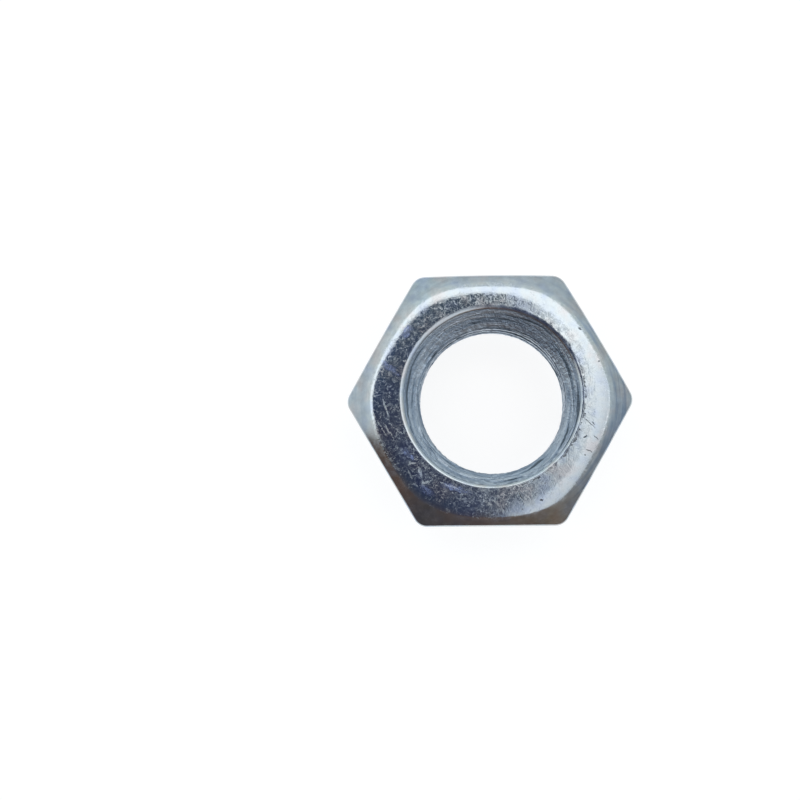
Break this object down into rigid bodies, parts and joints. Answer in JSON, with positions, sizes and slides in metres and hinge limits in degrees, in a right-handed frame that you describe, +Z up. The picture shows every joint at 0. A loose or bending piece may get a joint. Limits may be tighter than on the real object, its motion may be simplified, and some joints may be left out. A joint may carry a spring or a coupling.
{
  "type": "thin hex nut",
  "caption": "Thin hexagon nut, chamfered on both ends, with a countersunk tapped hole for a coarse M20 thread.",
  "frame": {"origin": "centre of the lower bearing face", "axes": "+Z up the thread's axis; two flats face +Y and -Y; two corners point to +X and -X"},
  "size_m": [0.0342, 0.03, 0.01],
  "materials": {
    "zinc_plated_steel": "bright zinc plate, clear-blue passivated"
  },
  "bodies": {
    "root": {"hex_nut": "zinc_plated_steel"}
  },
  "joints": []
}
